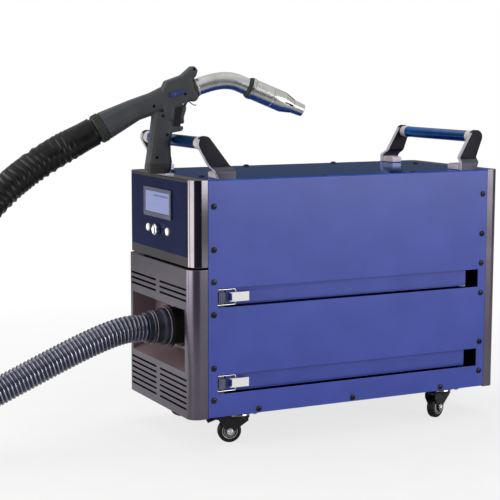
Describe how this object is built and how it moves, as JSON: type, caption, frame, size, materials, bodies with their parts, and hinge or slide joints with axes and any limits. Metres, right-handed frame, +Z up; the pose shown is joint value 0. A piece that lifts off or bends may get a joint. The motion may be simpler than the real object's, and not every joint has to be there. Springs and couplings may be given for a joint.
{
  "type": "fume extractor",
  "caption": "Mobile fume extractor on casters with slide-out filter and dust trays, display panel, ribbed suction hose and an extraction torch hung on the front handle.",
  "frame": {"origin": "on the floor, below the middle of the machine and its torch, without the lead", "axes": "+X to the machine's rear, -Y to the side with the trays, +Z up"},
  "size_m": [1.9879, 0.6789, 0.7846],
  "materials": {
    "blue_paint": "glossy powder coat",
    "zinc_sheet": "zinc plated",
    "graphite_cover": "satin moulded",
    "navy_fascia": "smooth film",
    "black_plastic": "satin",
    "display_glass": "clear over a grey green display",
    "white_plastic": "satin",
    "chrome": "polished",
    "blue_tube": "blue anodised",
    "black_metal": "satin black",
    "caster_tyre": "satin",
    "filter_paper": "matte pleated",
    "steel": "brushed",
    "cuff_rubber": "satin",
    "hose_plastic": "ribbed",
    "sleeve_leather": "wrinkled",
    "torch_shell": "fine texture",
    "blue_lever": "satin",
    "polished_metal": "polished"
  },
  "bodies": {
    "machine": {"chassis": "blue_paint", "side_panel_near": "blue_paint", "side_panel_far": "blue_paint", "top_cover": "blue_paint", "filter_deck": "zinc_sheet", "front_upper_cover": "graphite_cover", "front_lower_cover": "graphite_cover", "rear_cover": "graphite_cover", "fascia_overlay": "navy_fascia", "display_bezel": "black_plastic", "display_window": "display_glass", "handle_bar_front": "blue_tube", "handle_bar_rear": "blue_tube", "blower_housing": "steel", "inlet_collar": "black_plastic", "hose_cuff": "cuff_rubber", "extraction_hose": "hose_plastic", "hose_joint": "black_plastic", "leather_sleeve": "sleeve_leather", "power_inlet": "black_plastic", "torch_body": "torch_shell", "torch_lock_nut": "black_plastic", "torch_neck": "polished_metal", "torch_swivel_ring": "black_plastic", "torch_shroud": "polished_metal", "torch_nozzle": "polished_metal", "caster_plate_front_near": "zinc_sheet", "handle_arm_front_near": "black_plastic", "caster_plate_rear_near": "zinc_sheet", "handle_arm_rear_near": "black_plastic", "caster_plate_front_far": "zinc_sheet", "handle_arm_front_far": "black_plastic", "caster_plate_rear_far": "zinc_sheet", "handle_arm_rear_far": "black_plastic", "latch_catch_upper": "black_plastic", "latch_catch_lower": "black_plastic"},
    "caster_front_near": {"caster_fork_front_near": "black_metal"},
    "wheel_front_near": {"caster_wheel_front_near": "caster_tyre"},
    "caster_rear_near": {"caster_fork_rear_near": "black_metal"},
    "wheel_rear_near": {"caster_wheel_rear_near": "caster_tyre"},
    "caster_front_far": {"caster_fork_front_far": "black_metal"},
    "wheel_front_far": {"caster_wheel_front_far": "caster_tyre"},
    "caster_rear_far": {"caster_fork_rear_far": "black_metal"},
    "wheel_rear_far": {"caster_wheel_rear_far": "caster_tyre"},
    "brake_front_near": {"brake_pedal_front_near": "black_plastic"},
    "brake_front_far": {"brake_pedal_front_far": "black_plastic"},
    "filter_drawer": {"filter_tray": "blue_paint", "filter_media": "filter_paper"},
    "lever_upper": {"latch_lever_upper": "chrome"},
    "bail_upper": {"latch_bail_upper": "chrome"},
    "dust_drawer": {"dust_tray": "blue_paint"},
    "lever_lower": {"latch_lever_lower": "chrome"},
    "bail_lower": {"latch_bail_lower": "chrome"},
    "button_near": {"button_near": "white_plastic"},
    "button_far": {"button_far": "white_plastic"},
    "knob": {"control_knob": "chrome"},
    "trigger": {"torch_trigger": "torch_shell"},
    "flow_lever": {"torch_flow_lever": "blue_lever"},
    "impeller": {"turbine_impeller": "steel"},
    "rocker": {"rocker_switch": "black_plastic"}
  },
  "joints": [
    {"name": "swivel_front_near", "type": "hinge", "parent": "machine", "child": "caster_front_near", "pos_m": [-0.18052, -0.13, 0], "axis": [0, 0, 1], "continuous": true},
    {"name": "roll_front_near", "type": "hinge", "parent": "caster_front_near", "child": "wheel_front_near", "pos_m": [-0.19974, -0.12449, 0.025], "axis": [-0.2756, -0.9613, 0], "continuous": true},
    {"name": "swivel_rear_near", "type": "hinge", "parent": "machine", "child": "caster_rear_near", "pos_m": [0.32848, -0.13, 0], "axis": [0, 0, 1], "continuous": true},
    {"name": "roll_rear_near", "type": "hinge", "parent": "caster_rear_near", "child": "wheel_rear_near", "pos_m": [0.31036, -0.13845, 0.025], "axis": [0.4226, -0.9063, 0], "continuous": true},
    {"name": "swivel_front_far", "type": "hinge", "parent": "machine", "child": "caster_front_far", "pos_m": [-0.18052, 0.13, 0], "axis": [0, 0, 1], "continuous": true},
    {"name": "roll_front_far", "type": "hinge", "parent": "caster_front_far", "child": "wheel_front_far", "pos_m": [-0.20021, 0.12653, 0.025], "axis": [0.1736, -0.9848, 0], "continuous": true},
    {"name": "swivel_rear_far", "type": "hinge", "parent": "machine", "child": "caster_rear_far", "pos_m": [0.32848, 0.13, 0], "axis": [0, 0, 1], "continuous": true},
    {"name": "roll_rear_far", "type": "hinge", "parent": "caster_rear_far", "child": "wheel_rear_far", "pos_m": [0.30868, 0.13278, 0.025], "axis": [-0.1392, -0.9903, 0], "continuous": true},
    {"name": "brake_front_near", "type": "hinge", "parent": "caster_front_near", "child": "brake_front_near", "pos_m": [-0.21608, -0.1198, 0.052], "axis": [-0.2756, -0.9613, 0], "range_deg": [0, 10]},
    {"name": "brake_front_far", "type": "hinge", "parent": "caster_front_far", "child": "brake_front_far", "pos_m": [-0.21696, 0.12358, 0.052], "axis": [0.1736, -0.9848, 0], "range_deg": [0, 10]},
    {"name": "filter_slide", "type": "slide", "parent": "machine", "child": "filter_drawer", "axis": [0, -1, 0], "range_m": [0, 0.3]},
    {"name": "latch_lever_upper", "type": "hinge", "parent": "filter_drawer", "child": "lever_upper", "pos_m": [-0.21302, -0.1612, 0.31575], "axis": [0, 0, -1], "range_deg": [0, 100]},
    {"name": "latch_bail_upper", "type": "hinge", "parent": "lever_upper", "child": "bail_upper", "pos_m": [-0.20302, -0.1612, 0.31575], "axis": [0, 0, -1], "range_deg": [-131, 0]},
    {"name": "dust_slide", "type": "slide", "parent": "machine", "child": "dust_drawer", "axis": [0, -1, 0], "range_m": [0, 0.3]},
    {"name": "latch_lever_lower", "type": "hinge", "parent": "dust_drawer", "child": "lever_lower", "pos_m": [-0.21302, -0.1612, 0.13575], "axis": [0, 0, -1], "range_deg": [0, 100]},
    {"name": "latch_bail_lower", "type": "hinge", "parent": "lever_lower", "child": "bail_lower", "pos_m": [-0.20302, -0.1612, 0.13575], "axis": [0, 0, -1], "range_deg": [-131, 0]},
    {"name": "button_near", "type": "slide", "parent": "machine", "child": "button_near", "axis": [1, 0, 0], "range_m": [0, 0.002], "stiffness_N_per_m": 500, "springref_m": -0.001},
    {"name": "button_far", "type": "slide", "parent": "machine", "child": "button_far", "axis": [1, 0, 0], "range_m": [0, 0.002], "stiffness_N_per_m": 500, "springref_m": -0.001},
    {"name": "knob_turn", "type": "hinge", "parent": "machine", "child": "knob", "pos_m": [-0.30602, 0, 0.443], "axis": [1, 0, 0], "continuous": true},
    {"name": "trigger_pull", "type": "hinge", "parent": "machine", "child": "trigger", "pos_m": [-0.25871, -0.01987, 0.7065], "axis": [0.2079, 0.9781, 0], "range_deg": [0, 8], "stiffness_Nm_per_rad": 0.4, "springref_deg": -8.59},
    {"name": "flow_lever_turn", "type": "hinge", "parent": "machine", "child": "flow_lever", "pos_m": [-0.28543, -0.03495, 0.726], "axis": [0.2079, 0.9781, 0], "range_deg": [0, 60]},
    {"name": "impeller_spin", "type": "hinge", "parent": "machine", "child": "impeller", "pos_m": [0.13148, 0, 0.3548], "axis": [0, 0, 1], "continuous": true},
    {"name": "rocker_tilt", "type": "hinge", "parent": "machine", "child": "rocker", "pos_m": [0.43898, 0.01, 0.143], "axis": [0, 1, 0], "range_deg": [0, 10]}
  ],
  "couplings": [
    {"joint": "latch_bail_upper", "follows": "latch_lever_upper", "ratio": -1.3},
    {"joint": "latch_bail_lower", "follows": "latch_lever_lower", "ratio": -1.3}
  ]
}
